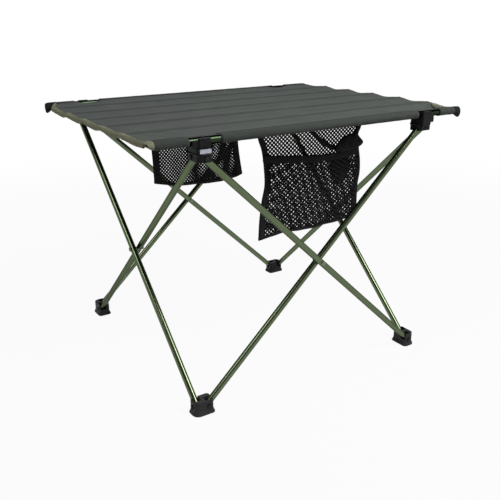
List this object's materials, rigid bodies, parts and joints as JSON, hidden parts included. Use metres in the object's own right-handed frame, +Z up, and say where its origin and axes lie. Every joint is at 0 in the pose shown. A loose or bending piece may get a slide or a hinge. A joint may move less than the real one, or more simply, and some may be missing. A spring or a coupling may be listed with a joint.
{
  "type": "folding camp kitchen table",
  "caption": "Low folding camp table: a fabric top on two rails clips onto crossed tube legs that fold to a bundle, with mesh pockets hung below one side.",
  "frame": {"origin": "on the floor, under the middle of the table top", "axes": "+X along the rails to the right, +Y from the pocket side to the back, +Z up"},
  "size_m": [0.58, 0.455, 0.417],
  "materials": {
    "black_plastic": "moulded, fine texture",
    "olive_tube": "olive anodised, satin",
    "rivet_steel": "dark plated",
    "charcoal_fabric": "coated plain weave",
    "khaki_binding": "ribbed binding tape",
    "black_mesh": "open knitted mesh",
    "black_tape": "woven tape",
    "label": "plain blank patch",
    "bare_rod": "drawn"
  },
  "bodies": {
    "foot_fl": {"foot_fl": "black_plastic", "foot_rivets_fl": "rivet_steel"},
    "hub_fl": {"hub_fl": "black_plastic", "hub_rivets_fl": "rivet_steel", "rail_clip_fl": "black_plastic", "clip_screw_fl": "rivet_steel", "blank_label": "label"},
    "foot_fr": {"foot_fr": "black_plastic", "foot_rivets_fr": "rivet_steel"},
    "hub_fr": {"hub_fr": "black_plastic", "hub_rivets_fr": "rivet_steel", "rail_clip_fr": "black_plastic", "clip_screw_fr": "rivet_steel"},
    "foot_br": {"foot_br": "black_plastic", "foot_rivets_br": "rivet_steel"},
    "hub_br": {"hub_br": "black_plastic", "hub_rivets_br": "rivet_steel", "rail_clip_br": "black_plastic", "clip_screw_br": "rivet_steel"},
    "foot_bl": {"foot_bl": "black_plastic", "foot_rivets_bl": "rivet_steel"},
    "hub_bl": {"hub_bl": "black_plastic", "hub_rivets_bl": "rivet_steel", "rail_clip_bl": "black_plastic", "clip_screw_bl": "rivet_steel"},
    "front_outer": {"leg_front_outer": "olive_tube", "cross_rivet_front": "rivet_steel"},
    "front_inner": {"leg_front_inner": "olive_tube"},
    "right_outer": {"leg_right_outer": "olive_tube", "cross_rivet_right": "rivet_steel"},
    "right_inner": {"leg_right_inner": "olive_tube"},
    "back_outer": {"leg_back_outer": "olive_tube", "cross_rivet_back": "rivet_steel"},
    "back_inner": {"leg_back_inner": "olive_tube"},
    "left_outer": {"leg_left_outer": "olive_tube", "cross_rivet_left": "rivet_steel"},
    "left_inner": {"leg_left_inner": "olive_tube"},
    "top": {"rail_front": "olive_tube", "rail_back": "olive_tube", "rail_plugs": "black_plastic", "top_panel": "charcoal_fabric", "sleeve_front": "charcoal_fabric", "sleeve_back": "charcoal_fabric", "sleeve_tabs": "black_tape", "binding_left": "khaki_binding", "binding_right": "khaki_binding", "rod_1": "bare_rod", "rod_2": "bare_rod", "rod_3": "bare_rod", "rod_4": "bare_rod", "rod_5": "bare_rod", "rod_channels": "charcoal_fabric", "rod_tips": "black_plastic", "small_pocket_back": "black_mesh", "small_pocket_front": "black_mesh", "large_pocket_back": "black_mesh", "large_pocket_front": "black_mesh", "large_pocket_band": "black_tape"}
  },
  "joints": [
    {"name": "frame_fold", "type": "hinge", "parent": "foot_fl", "child": "front_inner", "pos_m": [-0.2095, -0.207, 0.012], "axis": [0, -1, 0], "range_deg": [0, 43.5]},
    {"name": "front_cross", "type": "hinge", "parent": "front_inner", "child": "front_outer", "pos_m": [-0.007, -0.2176, 0.2], "axis": [0, 1, 0], "range_deg": [0, 87.1]},
    {"name": "hub_fr_pivot", "type": "hinge", "parent": "front_inner", "child": "hub_fr", "pos_m": [0.1955, -0.207, 0.388], "axis": [0, 1, 0], "range_deg": [0, 43.6]},
    {"name": "foot_fr_pivot", "type": "hinge", "parent": "front_outer", "child": "foot_fr", "pos_m": [0.1955, -0.2176, 0.012], "axis": [0, -1, 0], "range_deg": [0, 43.6]},
    {"name": "hub_fl_pivot", "type": "hinge", "parent": "front_outer", "child": "hub_fl", "pos_m": [-0.2095, -0.2176, 0.388], "axis": [0, -1, 0], "range_deg": [0, 43.6]},
    {"name": "left_foot_pivot", "type": "hinge", "parent": "foot_fl", "child": "left_outer", "pos_m": [-0.2246, -0.2025, 0.012], "axis": [1, 0, 0], "range_deg": [0, 43.6]},
    {"name": "hub_bl_pivot", "type": "hinge", "parent": "left_outer", "child": "hub_bl", "pos_m": [-0.2246, 0.2025, 0.388], "axis": [-1, 0, 0], "range_deg": [0, 43.6]},
    {"name": "left_cross", "type": "hinge", "parent": "left_outer", "child": "left_inner", "pos_m": [-0.214, 0, 0.2], "axis": [-1, 0, 0], "range_deg": [0, 87.1]},
    {"name": "foot_bl_pivot", "type": "hinge", "parent": "left_inner", "child": "foot_bl", "pos_m": [-0.214, 0.2025, 0.012], "axis": [1, 0, 0], "range_deg": [0, 43.6]},
    {"name": "right_foot_pivot", "type": "hinge", "parent": "foot_fr", "child": "right_inner", "pos_m": [0.2, -0.2025, 0.012], "axis": [1, 0, 0], "range_deg": [0, 43.6]},
    {"name": "hub_br_pivot", "type": "hinge", "parent": "right_inner", "child": "hub_br", "pos_m": [0.2, 0.2025, 0.388], "axis": [-1, 0, 0], "range_deg": [0, 43.6]},
    {"name": "right_cross", "type": "hinge", "parent": "right_inner", "child": "right_outer", "pos_m": [0.2106, 0, 0.2], "axis": [-1, 0, 0], "range_deg": [0, 87.1]},
    {"name": "foot_br_pivot", "type": "hinge", "parent": "right_outer", "child": "foot_br", "pos_m": [0.2106, 0.2025, 0.012], "axis": [1, 0, 0], "range_deg": [0, 43.6]},
    {"name": "back_foot_pivot", "type": "hinge", "parent": "foot_br", "child": "back_inner", "pos_m": [0.1955, 0.207, 0.012], "axis": [0, 1, 0], "range_deg": [0, 43.6]},
    {"name": "back_cross", "type": "hinge", "parent": "back_inner", "child": "back_outer", "pos_m": [-0.007, 0.2176, 0.2], "axis": [0, -1, 0], "range_deg": [0, 87.1]},
    {"name": "top_lift_off", "type": "slide", "parent": "hub_fl", "child": "top", "axis": [-0.2449, -0.2449, 0.9381], "range_m": [0, 0.5832]}
  ],
  "couplings": [
    {"joint": "front_cross", "follows": "frame_fold", "ratio": 2},
    {"joint": "hub_fr_pivot", "follows": "frame_fold", "ratio": 1},
    {"joint": "foot_fr_pivot", "follows": "frame_fold", "ratio": 1},
    {"joint": "hub_fl_pivot", "follows": "frame_fold", "ratio": 1},
    {"joint": "left_foot_pivot", "follows": "frame_fold", "ratio": 1},
    {"joint": "hub_bl_pivot", "follows": "frame_fold", "ratio": 1},
    {"joint": "left_cross", "follows": "frame_fold", "ratio": 2},
    {"joint": "foot_bl_pivot", "follows": "frame_fold", "ratio": 1},
    {"joint": "right_foot_pivot", "follows": "frame_fold", "ratio": 1},
    {"joint": "hub_br_pivot", "follows": "frame_fold", "ratio": 1},
    {"joint": "right_cross", "follows": "frame_fold", "ratio": 2},
    {"joint": "foot_br_pivot", "follows": "frame_fold", "ratio": 1},
    {"joint": "back_foot_pivot", "follows": "frame_fold", "ratio": 1},
    {"joint": "back_cross", "follows": "frame_fold", "ratio": 2},
    {"joint": "top_lift_off", "follows": "frame_fold", "m_per_rad": 0.76752}
  ]
}
